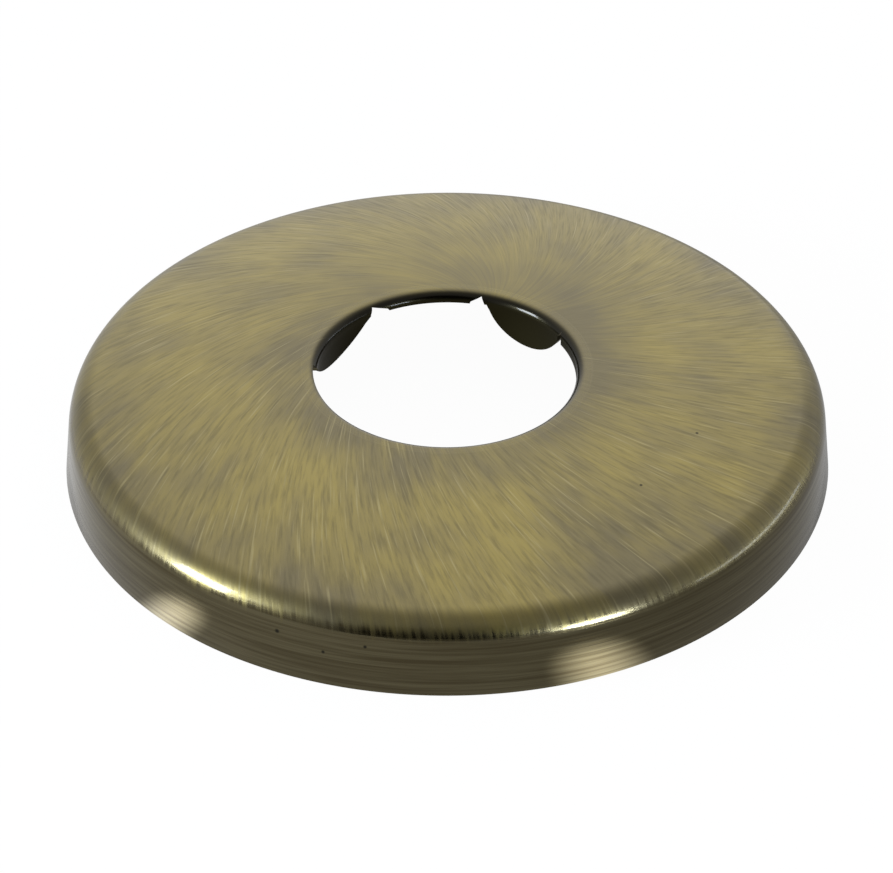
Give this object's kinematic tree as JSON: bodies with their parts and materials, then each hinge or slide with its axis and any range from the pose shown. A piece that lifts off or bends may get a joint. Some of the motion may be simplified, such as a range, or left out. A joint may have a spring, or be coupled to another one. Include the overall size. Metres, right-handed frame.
{
  "type": "shower arm flange",
  "caption": "Round pressed brass wall flange with a short skirt, a shallow dome and a rolled pipe hole slit into spring tongues.",
  "frame": {"origin": "on the axis of the pipe hole, in the plane of the bottom rim that sits against the wall", "axes": "+Z along the pipe hole away from the wall, +Y towards the side of the flange at the back of the reference view, +X to the right in that view"},
  "size_m": [0.0666, 0.0666, 0.0098],
  "materials": {
    "antique_brass": "brushed antique"
  },
  "bodies": {
    "root": {"flange": "antique_brass"}
  },
  "joints": []
}
